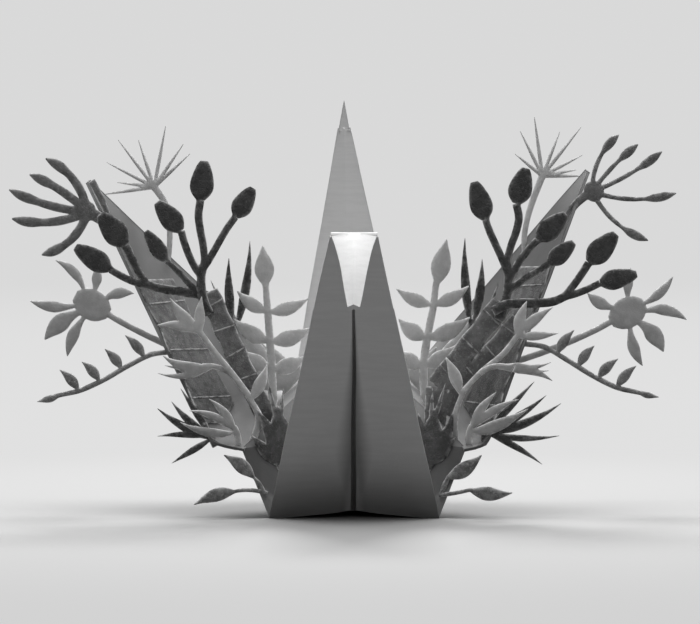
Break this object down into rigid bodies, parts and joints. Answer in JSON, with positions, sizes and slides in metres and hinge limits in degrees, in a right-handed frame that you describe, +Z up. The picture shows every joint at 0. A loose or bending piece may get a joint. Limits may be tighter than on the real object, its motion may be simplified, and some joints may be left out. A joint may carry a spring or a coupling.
{
  "type": "origami crane",
  "caption": "Folded paper crane standing on its open base, with raised wings and sprays of cut card plants along both wings.",
  "frame": {"origin": "point of the table under the middle of the whole object's box", "axes": "+Z up from the table, -Y towards the head, +Y towards the tail, +X to the right of a viewer who faces the head"},
  "size_m": [0.1226, 0.0732, 0.0749],
  "materials": {
    "white_paper": "matte",
    "black_card": "matte",
    "dark_card": "matte",
    "grey_card": "matte",
    "pale_card": "matte"
  },
  "bodies": {
    "root": {"broad_leaves_left": "dark_card", "broad_leaves_right": "dark_card", "crane": "white_paper", "dark_spikes_left": "black_card", "dark_spikes_right": "black_card", "grass_tuft_left": "grey_card", "grass_tuft_right": "grey_card", "jointed_stalk_left": "dark_card", "jointed_stalk_right": "dark_card", "long_blades_left": "black_card", "long_blades_right": "black_card", "low_buds_left": "black_card", "low_buds_right": "black_card", "low_leaves_left": "black_card", "low_leaves_right": "black_card", "needle_fan_left": "pale_card", "needle_fan_right": "pale_card", "paired_leaves_left": "grey_card", "paired_leaves_right": "grey_card", "pale_spikes_left": "pale_card", "pale_spikes_right": "pale_card", "pale_sprig_left": "pale_card", "pale_sprig_right": "pale_card", "palm_spray_left": "dark_card", "palm_spray_right": "dark_card", "root_leaves_left": "grey_card", "root_leaves_right": "grey_card", "star_flower_left": "grey_card", "star_flower_right": "grey_card", "tall_buds_left": "black_card", "tall_buds_right": "black_card", "vine_left": "dark_card", "vine_right": "dark_card", "wing_stalk_left": "dark_card", "wing_stalk_right": "dark_card"}
  },
  "joints": []
}
